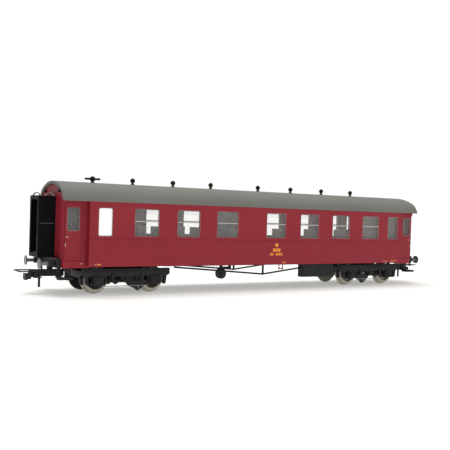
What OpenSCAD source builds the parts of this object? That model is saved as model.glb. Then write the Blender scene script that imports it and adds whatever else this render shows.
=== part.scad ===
// Model of a four-axle passenger coach, in millimetres at the model's own size.
// +X runs towards the rear end, -Y is the left side, and z = 0 is the surface
// that the wheel flanges stand on. The origin is under the middle of the coach.

/* [Body] */
// Length of the full-width sides, between the two door bays
side_len = 173.6; // [166:0.2:180]
// Length over the end walls
body_len = 194; // [190:0.5:206]
// Width across the sides
body_w = 33.6; // [30:0.2:38]
// Width across the door bays
door_bay_w = 28; // [25:0.2:29]
// Thickness of the sides and the ends
wall_t = 1.2; // [0.9:0.1:1.4]
// Height of the lower edge of the sides
side_bottom_z = 11.9; // [11.6:0.1:12.6]
// Height of the lower edge of the door bays
bay_bottom_z = 11.3; // [11:0.1:11.6]
// Height of the eaves
eave_z = 38.4; // [37:0.2:42]
// Half width of the flat middle of an end wall
end_flat_half = 11.5; // [9:0.1:12]
// How far the door side of an end wall is set back
end_setback = 0.5; // [0.2:0.1:0.8]

/* [Windows] */
// Height of the window sills
sill_z = 24.4; // [23.8:0.1:26]
// Height of the window heads
head_z = 36; // [32:0.1:36.6]
// Width of a wide window
window_w = 11.15; // [8:0.05:13]
// Distance between wide windows
window_pitch = 19.85; // [16.5:0.05:20.2]
// Place of the first wide window of the front saloon
front_bay_x = -61.6; // [-62:0.1:-58]
// Place of the first wide window of the rear saloon
rear_bay_x = 4.87; // [2:0.01:8]
// Place of the narrow toilet window
toilet_window_x = -80.1; // [-80.4:0.1:-78]
// Width of the narrow toilet window
toilet_window_w = 6.1; // [4:0.1:6.5]
// Place of the narrow rear window
rear_window_x = 80; // [78:0.1:80.4]
// Width of the narrow rear window
rear_window_w = 7; // [5:0.1:7.4]
// Radius of the window corners
window_r = 0.8; // [0.4:0.1:1.5]
// Width of a door window
door_window_w = 5; // [4:0.1:5.2]
// Height of the sill of a door window
door_sill_z = 26.4; // [25:0.1:29]
// Distance from an end wall's face to the middle of the door
door_inset = 4.3; // [4.3:0.05:4.6]

/* [Roof] */
// Thickness of the roof shell
roof_t = 1.2; // [0.8:0.1:1.4]
// How far the roof stands past each end wall
roof_end_overhang = 0.8; // [0.4:0.1:1.4]
// How far the roof stands past each side at its widest
roof_side_overhang = 0.4; // [0.3:0.1:0.8]
// Height of the ridge above the eaves
roof_rise = 8.2; // [7.6:0.1:9]
// Radius of the crown of the roof
crown_r = 30; // [27:0.5:40]
// Radius of the shoulders of the roof
shoulder_r = 8; // [7:0.1:9]
// Diameter of the head of a roof vent
vent_head_d = 2.2; // [1.6:0.1:3]
// Height of a roof vent above the ridge
vent_h = 2.85; // [1.8:0.05:3.2]
// Length of the cross vent
cross_vent_len = 6.7; // [4:0.1:8]

/* [Gangways] */
// Length of a gangway from the end wall to its open face
gangway_len = 7.7; // [6:0.05:9]
// Half width of a gangway
gangway_half_w = 6.1; // [5.6:0.1:7.5]
// Height of the bottom of a gangway
gangway_bottom_z = 15.3; // [15.3:0.1:17]
// Height of the top of a gangway
gangway_top_z = 40.1; // [38:0.1:40.6]
// Thickness of the gangway walls
gangway_t = 1.2; // [0.8:0.1:1.6]
// Rise of the hoops over a gangway
cap_rise = 1.5; // [1:0.1:2]

/* [Running gear] */
// Distance between the bogie pivots
pivot_distance = 136.8; // [128:0.2:138]
// Wheelbase of a bogie
bogie_wheelbase = 25.6; // [24:0.1:28]
// Diameter of the wheels on the tread
tread_d = 10.5; // [9.6:0.1:10.8]
// Height of the flanges
flange_h = 0.8; // [0.6:0.05:1]
// Distance between the backs of two wheels
back_to_back = 14.4; // [14:0.05:14.6]
// Width of a wheel
wheel_w = 2.9; // [2.4:0.05:3]
// Diameter of an axle
axle_d = 2; // [1.5:0.1:2.4]
// Diameter of an axle end
axle_end_d = 0.9; // [0.7:0.05:1.2]
// Running clearance round an axle end and round the bogie pivots
running_gap = 0.05; // [0.03:0.01:0.1]
// Distance between the inner faces of the bogie sides
bogie_inner_w = 23.8; // [22.6:0.1:24.4]
// Thickness of a bogie side
bogie_side_t = 1.2; // [1:0.1:1.6]
// Distance from the flanges of an outer wheel to the end of its bogie
bogie_end_gap = 0.95; // [0.9:0.05:2]
// Height of the top of the bogie sides above the axles
bogie_side_rise = 4.15; // [3.6:0.05:4.2]
// Diameter of a bogie pivot
pivot_d = 3; // [2:0.1:4]
// Distance from the middle of a bogie to its brake hangers
hanger_x = 5; // [3.8:0.1:5.4]

/* [Underframe] */
// Clearance between the wheels and the underside of the floor
wheel_clearance = 1.3; // [1:0.1:2]
// Thickness of the floor
floor_t = 1.2; // [0.8:0.1:1.6]
// Height of the lowest point of the truss rods
truss_low_z = 7.2; // [6:0.1:9]
// Place of the truss posts
truss_post_x = 0.4; // [-3:0.1:3]
// Distance between the two truss rods
truss_w = 26.2; // [24:0.1:28]
// Diameter of a truss rod
truss_d = 0.8; // [0.5:0.1:1]
// Front end of the battery box
battery_x = 22.8; // [18:0.1:24]
// Length of the battery box
battery_len = 19.4; // [14:0.1:21.4]
// Depth of the battery box across the coach
battery_depth = 3.5; // [2.5:0.1:6]
// Height of the underside of the battery box
battery_bottom_z = 5.4; // [5:0.1:8]
// Distance from the middle of the coach to the face of the battery box
battery_y = 14.4; // [13.6:0.1:15]
// Diameter of the dynamo
dynamo_d = 4.8; // [4:0.1:5.4]
// Place of the dynamo
dynamo_x = -21.5; // [-30:0.1:-12]
// Height of a door step
step_z = 6.7; // [5:0.1:9]

/* [Ends] */
// Distance between the two buffers of an end
buffer_w = 20.1; // [19:0.1:21]
// Height of the buffers
buffer_z = 13; // [12.4:0.1:13.2]
// Diameter of a buffer head
buffer_d = 4.1; // [3.6:0.1:5.4]
// Distance from the end wall to the faces of the buffers
buffer_reach = 8.2; // [6.5:0.05:9]
// Thickness of a buffer beam
beam_t = 1.8; // [1.2:0.1:2.2]
// Distance from the end wall to the coupler pivot
coupler_setback = 3.2; // [2.6:0.1:3.6]
// Length of a coupler shaft and head from the pivot
coupler_len = 14.2; // [13.8:0.1:17]
// Thickness of the coupler shaft
coupler_h = 2.8; // [2:0.1:3]
// Half width of the coupler loop
loop_half_w = 4.5; // [4:0.1:4.8]
// How far the coupler loop reaches past the coupler head
loop_reach = 3.2; // [2:0.1:4]

/* [Hidden] */
$fn = 48;

// Finishes
wine_red = "#7c2630";
roof_grey = "#82827a";
frame_black = "#26282a";
nickel = "#b1a998";
seat_brown = "#5e554d";

// Clearance between pieces that sit in or beside each other
gap = 0.1;
// Gap that keeps flat-on-curved neighbours apart
seat_gap = 0.02;
// Overlap that makes a cutter pass right through
over = 1;

// The wheels stand on their flanges
flange_r = tread_d / 2 + flange_h;
axle_z = flange_r;
floor_z = 2 * flange_r + wheel_clearance;

half_side = side_len / 2;
half_body = body_len / 2;
half_w = body_w / 2;
half_bay = door_bay_w / 2;
inner_half_w = half_w - wall_t;
inner_half_bay = half_bay - wall_t;
// Doors and other pieces that stand proud of a wall
relief = 0.15;

// Roof section: a crown arc that runs into a shoulder arc at each side
roof_half_w = half_w + roof_side_overhang;
roof_half_len = half_body + roof_end_overhang;
ridge_z = eave_z + roof_rise;
crown_cz = ridge_z - crown_r;
shoulder_cy = roof_half_w - shoulder_r;
shoulder_cz = crown_cz + sqrt(pow(crown_r - shoulder_r, 2) - pow(shoulder_cy, 2));
shoulder_angle = asin(shoulder_cy / (crown_r - shoulder_r));

// Window places along a side
front_bays = 3;
rear_bays = 4;
front_windows_x = [for (i = [0:front_bays - 1]) front_bay_x + i * window_pitch];
rear_windows_x = [for (i = [0:rear_bays - 1]) rear_bay_x + i * window_pitch];
wide_windows_x = concat(front_windows_x, rear_windows_x);
window_h = head_z - sill_z;
window_cz = (head_z + sill_z) / 2;
door_window_h = head_z - door_sill_z - 0.4;
door_window_cz = door_sill_z + door_window_h / 2;
door_x = half_body - door_inset;
door_w = door_window_w + 1.9;
door_bottom_z = 14.5;
door_top_z = head_z + 1.4;
bead_z = sill_z - 1.45;
bead_h = 0.25;
pane_t = 0.55;
pane_margin = 0.8;
// Panes stop short of the outer face of the wall
pane_setback = 0.2;

// Inside
floor_top_z = floor_z + floor_t;
ballast_len = 120;
ballast_w = 22;
ballast_t = 1.2;
seat_floor_z = floor_top_z + ballast_t;
seat_floor_t = 0.6;
seat_back_top_z = 28.5;
seat_back_t = 1.2;
bench_depth = 4.8;
bench_top_z = 20.6;
aisle_y = [0, 7];
inside_half_w = inner_half_w - pane_t - gap;
front_backs_x = [for (i = [0:front_bays]) front_bay_x + (i - 0.5) * window_pitch];
rear_backs_x = [for (i = [0:rear_bays]) rear_bay_x + (i - 0.5) * window_pitch];
partition_t = 0.8;
toilet_wall_x = front_backs_x[0] - 1.9;
middle_wall_x = (front_backs_x[front_bays] + rear_backs_x[0]) / 2;

// Running gear
pivot_x = pivot_distance / 2;
bogie_overhang = flange_r + bogie_end_gap;
bogie_len = bogie_wheelbase + 2 * bogie_overhang;
bogie_top_z = axle_z + bogie_side_rise;
flange_w = 0.9;
side_frame_y = bogie_inner_w / 2;
bearing_depth = 0.9;
bearing_r = axle_end_d / 2 + running_gap;
axle_half = side_frame_y + bearing_depth - gap;
wheel_inner_y = back_to_back / 2;
wheel_outer_y = wheel_inner_y + wheel_w;
frame_plate_z = axle_z + 1.85;
frame_plate_t = 1.9;
bogie_boss_d = 9;
pivot_head_d = pivot_d + 2;
shoe_gap = 0.35;
shoe_t = 1;
wheels_x = [
    -pivot_x - bogie_wheelbase / 2, -pivot_x + bogie_wheelbase / 2,
    pivot_x - bogie_wheelbase / 2, pivot_x + bogie_wheelbase / 2
];

// Ends
beam_x = half_body + gap;
beam_half_w = 12.7;
beam_bottom_z = 11.4;
beam_top_z = 15.1;
draft_bottom_z = 11.2;
draft_half_w = 7;
portal_t = 0.6;
portal_x = half_body + portal_t;
gangway_face_x = half_body + gangway_len;
gangway_frame_t = 0.55;
coupler_x = half_body - coupler_setback;
coupler_tip_x = coupler_x + coupler_len;
coupler_z = 8.5;
coupler_pin_d = 1.5;
loop_hinge_x = coupler_x + 10;
loop_pin_d = 0.9;
loop_tip_x = coupler_tip_x + loop_reach;

// A box between two corners
module block(x0, x1, y0, y1, z0, z1) {
    translate([x0, y0, z0]) cube([x1 - x0, y1 - y0, z1 - z0]);
}

// A flat shape in x and z, as thick as from y0 to y1
module across(y0, y1) {
    translate([0, y1, 0]) rotate([90, 0, 0]) linear_extrude(y1 - y0) children();
}

// A flat shape in y and z, as long as from x0 to x1
module along(x0, x1) {
    translate([x0, 0, 0]) rotate([90, 0, 90]) linear_extrude(x1 - x0) children();
}

// A round bar across the coach
module cross_bar(x, y0, y1, z, d) {
    translate([x, y1, z]) rotate([90, 0, 0]) cylinder(h = y1 - y0, d = d);
}

// A round bar between two points
module bar(from, to, d) {
    run = to - from;
    translate(from)
        rotate([0, acos(run[2] / norm(run)), atan2(run[1], run[0])])
            cylinder(h = norm(run), d = d, $fn = 24);
}

module both_sides() {
    children();
    mirror([0, 1, 0]) children();
}

module both_ends() {
    children();
    mirror([1, 0, 0]) children();
}

// Outline of a rectangle with round corners, its middle at the origin
function round_rect(w, h, r, steps = 5) = [
    for (corner = [0:3], step = [0:steps])
        let (
            angle = 90 * (corner + step / steps),
            side = (corner == 0 || corner == 3) ? 1 : -1,
            level = corner < 2 ? 1 : -1
        )
        [side * (w / 2 - r) + r * cos(angle), level * (h / 2 - r) + r * sin(angle)]
];

module window_shape(x, z, w, h) {
    translate([x, z]) polygon(round_rect(w, h, window_r));
}

// Roof section, moved inwards by inset. The arcs meet where their slopes agree.
module arch(inset) {
    crown = crown_r - inset;
    shoulder = shoulder_r - inset;
    meet_y = crown * sin(shoulder_angle);
    intersection() {
        translate([0, crown_cz]) circle(r = crown, $fn = 96);
        translate([-meet_y, crown_cz]) square([2 * meet_y, 2 * crown_r]);
    }
    for (side = [-1, 1]) scale([side, 1]) {
        intersection() {
            translate([shoulder_cy, shoulder_cz]) circle(r = shoulder, $fn = 96);
            translate([meet_y, shoulder_cz - over]) square([crown_r, crown_r]);
        }
        translate([meet_y, crown_cz])
            square([shoulder_cy + shoulder - meet_y, shoulder_cz - crown_cz]);
    }
}

// The part of the roof section above a height
module arch_above(inset, z) {
    intersection() {
        arch(inset);
        translate([-body_w, z]) square([2 * body_w, body_w]);
    }
}

// ---- Body ----

// One side with its windows, on the left
module side_wall() {
    difference() {
        union() {
            block(-half_side, half_side, -half_w, -inner_half_w, side_bottom_z, eave_z);
            block(-half_side, half_side, -half_w - relief, -inner_half_w, bead_z, bead_z + bead_h);
        }
        across(-half_w - over, -inner_half_w + over) {
            for (x = wide_windows_x) window_shape(x, window_cz, window_w, window_h);
            window_shape(toilet_window_x, window_cz, toilet_window_w, window_h);
            window_shape(rear_window_x, window_cz, rear_window_w, window_h);
        }
    }
}

module left_side() color(wine_red) side_wall();

module right_side() color(wine_red) mirror([0, 1, 0]) side_wall();

// Outer line of the rear door bay and end wall, seen from above
module end_plan() {
    back = half_side - wall_t;
    edge = half_body - end_setback;
    corner = 0.3;
    polygon([
        [back, -half_bay], [edge - corner, -half_bay], [edge, -half_bay + corner],
        [half_body, -end_flat_half], [half_body, end_flat_half],
        [edge, half_bay - corner], [edge - corner, half_bay], [back, half_bay]
    ]);
}

// Rear door bays with moulded doors, the end wall and the gangway surround
module end_section() {
    wall_h = eave_z - bay_bottom_z;
    inner_x = half_body - wall_t;
    surround_half_w = gangway_half_w + 0.4;
    surround_bottom_z = beam_top_z + gap;
    surround_top_z = gangway_top_z + 0.9;
    difference() {
        union() {
            translate([0, 0, bay_bottom_z]) linear_extrude(wall_h) end_plan();
            both_sides() {
                block(half_side - wall_t, half_side, half_bay - wall_t, inner_half_w,
                    side_bottom_z, eave_z);
                block(door_x - door_w / 2, door_x + door_w / 2, half_bay - wall_t,
                    half_bay + relief, door_bottom_z, door_top_z);
            }
            block(half_body - wall_t / 2, portal_x, -surround_half_w, surround_half_w,
                surround_bottom_z, surround_top_z);
            along(inner_x, half_body) arch_above(roof_t + gap, eave_z - wall_t);
        }
        block(half_side - wall_t - over, inner_x, -inner_half_bay, inner_half_bay,
            bay_bottom_z - over, eave_z + over);
        block(inner_x - over, half_body + over / 2, -draft_half_w - gap, draft_half_w + gap,
            0, side_bottom_z);
        block(inner_x - over, half_body + over / 2, inner_half_w, body_w, 0, eave_z);
        block(half_body + portal_t / 2, portal_x + over, -gangway_half_w + gangway_t,
            gangway_half_w - gangway_t, gangway_bottom_z + gangway_t,
            gangway_top_z - gangway_t);
        both_sides() {
            block(inner_x - over, portal_x + over, half_bay + over / 4, body_w,
                side_bottom_z - over, eave_z);
            across(inner_half_bay - over, half_bay + over)
                window_shape(door_x, door_window_cz, door_window_w, door_window_h);
        }
    }
}

module front_end() color(wine_red) mirror([1, 0, 0]) end_section();

module rear_end() color(wine_red) end_section();

module left_glazing() color("#cfd8d8") glazing();

module right_glazing() color("#cfd8d8") mirror([0, 1, 0]) glazing();

// Clear strip behind the left side, with a raised pane in each window
module glazing() {
    x0 = front_bay_x - window_w / 2 - pane_margin;
    x1 = rear_window_x + rear_window_w / 2 + pane_margin;
    back_y = -inner_half_w + pane_t;
    block(x0, x1, -inner_half_w, back_y, sill_z - pane_margin, head_z + pane_margin);
    across(-half_w + pane_setback, back_y) {
        for (x = wide_windows_x)
            window_shape(x, window_cz, window_w - gap, window_h - gap);
        window_shape(rear_window_x, window_cz, rear_window_w - gap, window_h - gap);
    }
}

// Frosted panes of the two toilet windows
module toilet_panes() color("#eef0ec") both_sides() {
    x0 = toilet_window_x - toilet_window_w / 2 - pane_margin;
    x1 = toilet_window_x + toilet_window_w / 2 + pane_margin;
    back_y = -inner_half_w + pane_t;
    block(x0, x1, -inner_half_w, back_y, sill_z - pane_margin, head_z + pane_margin);
    across(-half_w + pane_setback, back_y)
        window_shape(toilet_window_x, window_cz, toilet_window_w - gap, window_h - gap);
}

// Panes of the four doors
module door_panes() color("#cfd8d8") both_ends() both_sides() {
    x0 = door_x - door_window_w / 2 - pane_margin / 2;
    x1 = door_x + door_window_w / 2 + pane_margin / 2;
    back_y = -inner_half_bay + pane_t;
    block(x0, x1, -inner_half_bay, back_y, door_sill_z - pane_margin, head_z + pane_margin / 2);
    across(-half_bay + pane_setback, back_y)
        window_shape(door_x, door_window_cz, door_window_w - gap, door_window_h - gap);
}

// ---- Roof ----

// Arched shell with a ceiling over each door bay and a hole for each vent
module roof() color(roof_grey) {
    ceiling_x = half_side - 2 * wall_t;
    hole_d = vent_head_d / 2 + 2 * running_gap;
    difference() {
        union() {
            difference() {
                along(-roof_half_len, roof_half_len) arch_above(0, eave_z);
                along(-roof_half_len - over, roof_half_len + over)
                    arch_above(roof_t, eave_z - over);
            }
            both_ends() along(ceiling_x, half_body - wall_t - gap) intersection() {
                arch_above(roof_t / 2, eave_z);
                translate([-body_w, eave_z]) square([2 * body_w, roof_t]);
            }
        }
        for (x = concat(wide_windows_x, [toilet_window_x]))
            translate([x, 0, ridge_z - 2 * roof_t]) cylinder(h = 3 * roof_t, d = hole_d);
    }
}

// Peg, stem and round head of a vent
module vent(head_h) {
    peg_d = vent_head_d / 2;
    peg_len = roof_t / 2;
    collar_h = 0.3;
    translate([0, 0, ridge_z - peg_len]) cylinder(h = peg_len + head_h, d = peg_d);
    translate([0, 0, ridge_z + seat_gap]) cylinder(h = collar_h, d = vent_head_d * 0.8);
}

module roof_vents() color(frame_black) {
    head_z_offset = vent_h - vent_head_d / 2;
    for (x = wide_windows_x) translate([x, 0, 0]) {
        vent(head_z_offset);
        translate([0, 0, ridge_z + head_z_offset]) sphere(d = vent_head_d);
    }
}

// Four-armed vent over the toilet
module cross_vent() color(frame_black) translate([toilet_window_x, 0, 0]) {
    arm_z = ridge_z + vent_h - 1.25;
    arm_d = 0.9;
    vent(arm_z - ridge_z);
    translate([0, 0, arm_z]) sphere(d = 2.4);
    translate([-cross_vent_len / 2, 0, arm_z]) rotate([0, 90, 0])
        cylinder(h = cross_vent_len, d = arm_d);
    cross_bar(0, -cross_vent_len / 3, cross_vent_len / 3, arm_z, arm_d);
}

// ---- Inside ----

module ballast_weight() color("#8a8c8e")
    block(-ballast_len / 2, ballast_len / 2, -ballast_w / 2, ballast_w / 2,
        floor_top_z, seat_floor_z);

// A pair of back-to-back benches, three places on the left and two on the right
module bench_row(x, forward, backward) {
    for (y = [[-inside_half_w, aisle_y[0]], [aisle_y[1], inside_half_w]]) {
        block(x - seat_back_t / 2, x + seat_back_t / 2, y[0], y[1],
            seat_floor_z, seat_back_top_z);
        block(x - (forward ? bench_depth : 0), x + (backward ? bench_depth : 0), y[0], y[1],
            seat_floor_z, bench_top_z);
    }
}

module seats() color(seat_brown) {
    seat_half = half_side - wall_t - 2 * gap;
    block(-seat_half, seat_half, -inside_half_w, inside_half_w,
        seat_floor_z, seat_floor_z + seat_floor_t);
    for (i = [0:front_bays]) bench_row(front_backs_x[i], i > 0, i < front_bays);
    for (i = [0:rear_bays]) bench_row(rear_backs_x[i], i > 0, i < rear_bays);
}

module partition(x, half) {
    base_z = seat_floor_z + seat_floor_t;
    block(x - partition_t / 2, x + partition_t / 2, -half, half, base_z, eave_z - gap);
}

module partitions() color(seat_brown) {
    partition(toilet_wall_x, inside_half_w);
    partition(middle_wall_x, inside_half_w);
    both_ends() block(half_side - wall_t + gap, half_side - gap, -inner_half_bay + gap,
        inner_half_bay - gap, floor_top_z, eave_z - gap);
}

// ---- Underframe ----

// Floor, side members, buffer beams and the pins that carry bogies and couplers
module underframe() color(frame_black) {
    floor_half = half_side - wall_t - 2 * gap;
    member_y = truss_w / 2;
    member_w = 1;
    member_z = 11.5;
    boss_z = bogie_top_z + gap;
    pin_low_z = frame_plate_z - 0.9;
    difference() {
        union() {
            block(-floor_half, floor_half, -inner_half_w + 2 * gap, inner_half_w - 2 * gap,
                floor_z, floor_top_z);
            block(-half_body + wall_t + gap, half_body - wall_t - gap, -inner_half_bay + 2 * gap,
                inner_half_bay - 2 * gap, floor_z, floor_top_z);
            both_sides() block(-52, 44, member_y - member_w / 2, member_y + member_w / 2,
                member_z, floor_z);
            for (x = [-40, -28, 10, 18])
                block(x, x + member_w, -member_y, member_y, member_z, floor_z);
            both_ends() {
                block(beam_x, beam_x + beam_t, -beam_half_w, beam_half_w,
                    beam_bottom_z, beam_top_z);
                both_sides() block(beam_x + 0.5, beam_x + 1.3, beam_half_w - 0.5, beam_half_w,
                    9.7, beam_bottom_z + over);
                block(coupler_x - 2.4, beam_x + beam_t / 2, -draft_half_w, draft_half_w,
                    draft_bottom_z, side_bottom_z - gap);
                block(coupler_x - 2.4, half_body - wall_t - gap, -draft_half_w, draft_half_w,
                    draft_bottom_z, floor_z);
                translate([pivot_x, 0, boss_z])
                    cylinder(h = floor_z - boss_z, d = bogie_boss_d);
                translate([pivot_x, 0, pin_low_z])
                    cylinder(h = floor_z - pin_low_z, d = pivot_d);
                translate([pivot_x, 0, pin_low_z - 0.1])
                    cylinder(h = 0.9, d = pivot_head_d);
                translate([coupler_x, 0, coupler_z - coupler_h / 2 - gap])
                    cylinder(h = draft_bottom_z - coupler_z + coupler_h / 2 + 2 * gap,
                        d = coupler_pin_d);
                translate([coupler_x, 0, coupler_z - coupler_h / 2 - gap - 0.7])
                    cylinder(h = 0.7, d = coupler_pin_d + 1.2);
            }
        }
        both_ends() both_sides()
            translate([beam_x - over, buffer_w / 2, buffer_z]) rotate([0, 90, 0])
                cylinder(h = beam_t + 2 * over, d = 1.6);
    }
}

// Rod with its post, from behind the front bogie to a rear end
module truss(y, rear_x, rear_z) {
    post_d = 1;
    low = [truss_post_x, y, truss_low_z];
    front = [-46.5, y, 11.05];
    rear = [rear_x, y, rear_z];
    bar(front, low, truss_d);
    bar(low, rear, truss_d);
    translate([truss_post_x, y, truss_low_z]) sphere(d = post_d, $fn = 24);
    translate([truss_post_x, y, truss_low_z])
        cylinder(h = 11.5 - truss_low_z - seat_gap, d = post_d);
}

// The left rod ends at the battery box, the right one at the floor's side member
module truss_rods() color(frame_black) {
    truss(-truss_w / 2, battery_x - gap, 9.9);
    truss(truss_w / 2, battery_x + 9.4, 11.05);
}

// Box under the left side, notched for the side member
module battery_box() color(frame_black) {
    y0 = -battery_y;
    y1 = y0 + battery_depth;
    difference() {
        block(battery_x, battery_x + battery_len, y0, y1, battery_bottom_z, floor_z);
        block(battery_x - over, battery_x + battery_len + over, -truss_w / 2 - 0.5 - gap,
            y1 + over, 11.5 - gap, floor_z + over);
    }
}

module dynamo() color(frame_black) {
    z = 7.7;
    y0 = -12;
    drum_len = 1.9;
    cross_bar(dynamo_x, y0, y0 + drum_len, z, dynamo_d);
    cross_bar(dynamo_x, y0 - 0.4, y0 + drum_len + 0.4, z, dynamo_d / 3);
    block(dynamo_x - 0.6, dynamo_x + 0.6, y0 + 0.4, y0 + 1.5, z, floor_z);
    block(dynamo_x, dynamo_x + 5.2, y0 + 0.6, y0 + 1.3, 10, 10.8);
    block(dynamo_x + 4.2, dynamo_x + 5.2, y0 + 0.4, y0 + 1.5, 10, floor_z);
}

// Small pull loop under each side
module brake_handles() color(wine_red) both_sides() {
    y = -14.6;
    d = 0.5;
    half = 1.1;
    x = 9.7;
    low_z = 9.3;
    bar([x - half, y, low_z], [x - half, y, floor_z], d);
    bar([x + half, y, low_z], [x + half, y, floor_z], d);
    bar([x - half - d / 2, y, low_z + d], [x + half + d / 2, y, low_z + d], d);
}

// Step below each door on a bracket from the floor
module door_steps() color(frame_black) both_ends() both_sides() {
    y0 = inner_half_bay - 0.9;
    tread_t = 1;
    x0 = coupler_x - 1.2;
    block(x0, x0 + 5.8, y0, half_bay + 1.2, step_z, step_z + tread_t);
    block(x0 + 0.2, x0 + 2.6, y0, y0 + 0.6, step_z, floor_z);
}

// ---- Ends ----

// Gangway tube behind its open face
module gangway() {
    x0 = portal_x;
    x1 = gangway_face_x - gangway_frame_t;
    difference() {
        block(x0, x1, -gangway_half_w, gangway_half_w, gangway_bottom_z, gangway_top_z);
        block(x0 - over, x1 + over, -gangway_half_w + gangway_t, gangway_half_w - gangway_t,
            gangway_bottom_z + gangway_t, gangway_top_z - gangway_t);
    }
}

module front_gangway() color("#141416") mirror([1, 0, 0]) gangway();

module rear_gangway() color("#141416") gangway();

module gangway_frames() color("#5c5e60") both_ends() {
    lip = 0.15;
    side = gangway_t + 0.3;
    difference() {
        block(gangway_face_x - gangway_frame_t, gangway_face_x, -gangway_half_w - lip,
            gangway_half_w + lip, gangway_bottom_z - lip, gangway_top_z + lip);
        block(gangway_face_x - over, gangway_face_x + over, -gangway_half_w + side,
            gangway_half_w - side, gangway_bottom_z + side, gangway_top_z - side);
    }
}

// Two thin hoops over a gangway, one at each end of it
module gangway_caps() color("#a8a8a6") both_ends() {
    hoop_t = 0.35;
    hoop_w = 0.5;
    base_z = gangway_top_z;
    cap_r = (gangway_half_w * gangway_half_w + cap_rise * cap_rise) / (2 * cap_rise);
    x0 = portal_x + 3 * gap;
    x1 = gangway_face_x - gangway_frame_t - gap;
    for (x = [x0, x1 - hoop_w]) intersection() {
        translate([x, 0, base_z + cap_rise - cap_r]) rotate([0, 90, 0]) difference() {
            cylinder(h = hoop_w, r = cap_r, $fn = 96);
            translate([0, 0, -over]) cylinder(h = hoop_w + 2 * over, r = cap_r - hoop_t, $fn = 96);
        }
        block(x - over, x + hoop_w + over, -gangway_half_w, gangway_half_w,
            base_z + seat_gap, base_z + 2 * cap_rise);
    }
}

module gangway_footplates() color("#6c6e70") both_ends()
    block(portal_x + gap, gangway_face_x - gangway_frame_t - gap, -gangway_half_w + gangway_t + 0.4,
        gangway_half_w - gangway_t - 0.4, gangway_bottom_z + gangway_t,
        gangway_bottom_z + gangway_t + 0.4);

module buffer_housings() color(frame_black) both_ends() both_sides() {
    x0 = beam_x + beam_t;
    sleeve_len = 2.6;
    translate([x0, buffer_w / 2, buffer_z]) rotate([0, 90, 0]) difference() {
        union() {
            cylinder(h = 0.5, d = 3.2);
            cylinder(h = sleeve_len, d = 2.5);
        }
        translate([0, 0, -over]) cylinder(h = sleeve_len + 2 * over, d = 1.6);
    }
}

// Head and shank in one piece, pressed through the housing into the beam
module buffer_heads() color("#3c3e40") both_ends() both_sides() {
    face_x = half_body + buffer_reach;
    head_t = 0.5;
    bevel = 0.15;
    translate([face_x, buffer_w / 2, buffer_z]) rotate([0, -90, 0]) {
        cylinder(h = bevel, d1 = buffer_d - 2 * bevel, d2 = buffer_d);
        translate([0, 0, bevel]) cylinder(h = head_t - bevel, d = buffer_d);
        cylinder(h = face_x - beam_x, d = 1.5);
    }
}

// Short hose with a square elbow, at each side of a coupler
module brake_hoses() color(frame_black) both_ends() both_sides() {
    y = 4.8;
    d = 0.8;
    x = beam_x + beam_t;
    elbow_x = x + 0.9;
    elbow_z = 11.7;
    half = 0.5;
    translate([x, y, elbow_z]) rotate([0, 90, 0]) cylinder(h = 0.9, d = d, $fn = 24);
    block(elbow_x - half, elbow_x + half, y - half, y + half, elbow_z - half, elbow_z + half);
    bar([elbow_x, y, elbow_z], [elbow_x - 0.4, y, 8.2], d);
}

module lamp_brackets() color(frame_black) both_ends() both_sides() {
    y = 9.8;
    z = eave_z + 3.3;
    block(half_body, half_body + 0.9, y - 0.7, y + 0.7, z, z + 1.3);
}

// ---- Bogies ----

// Middle frame of a bogie: bolster, backbone and end beams
module bogie_frame() {
    beam_w = 0.8;
    backbone_half_w = wheel_inner_y - 0.8;
    top_z = frame_plate_z + frame_plate_t;
    half = bogie_len / 2;
    difference() {
        union() {
            block(-half + beam_w / 2, half - beam_w / 2, -backbone_half_w, backbone_half_w,
                frame_plate_z, top_z);
            block(-3.6, 3.6, -side_frame_y, side_frame_y, frame_plate_z, bogie_top_z);
            both_ends() block(half - beam_w, half, -side_frame_y, side_frame_y,
                frame_plate_z, top_z);
        }
        translate([0, 0, frame_plate_z - over])
            cylinder(h = frame_plate_t + 3 * over, d = pivot_d + 2 * running_gap);
    }
}

// Outline of a bogie side from its middle to the rear, with the axles at height 0
module side_outline() {
    half = bogie_len / 2;
    wheel = bogie_wheelbase / 2;
    polygon([
        [0, bogie_side_rise], [half, bogie_side_rise], [half, 2.25], [half - 1.4, 1.45],
        [half - 1.7, -1.2], [half - 2.1, -2.1], [half - 2.9, -2.1], [half - 2.7, 1.35],
        [wheel + 3, 1.35], [wheel + 2.6, -2.15], [wheel - 3, -2.15], [wheel - 3.4, -1.05],
        [0, -1.05]
    ]);
}

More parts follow.
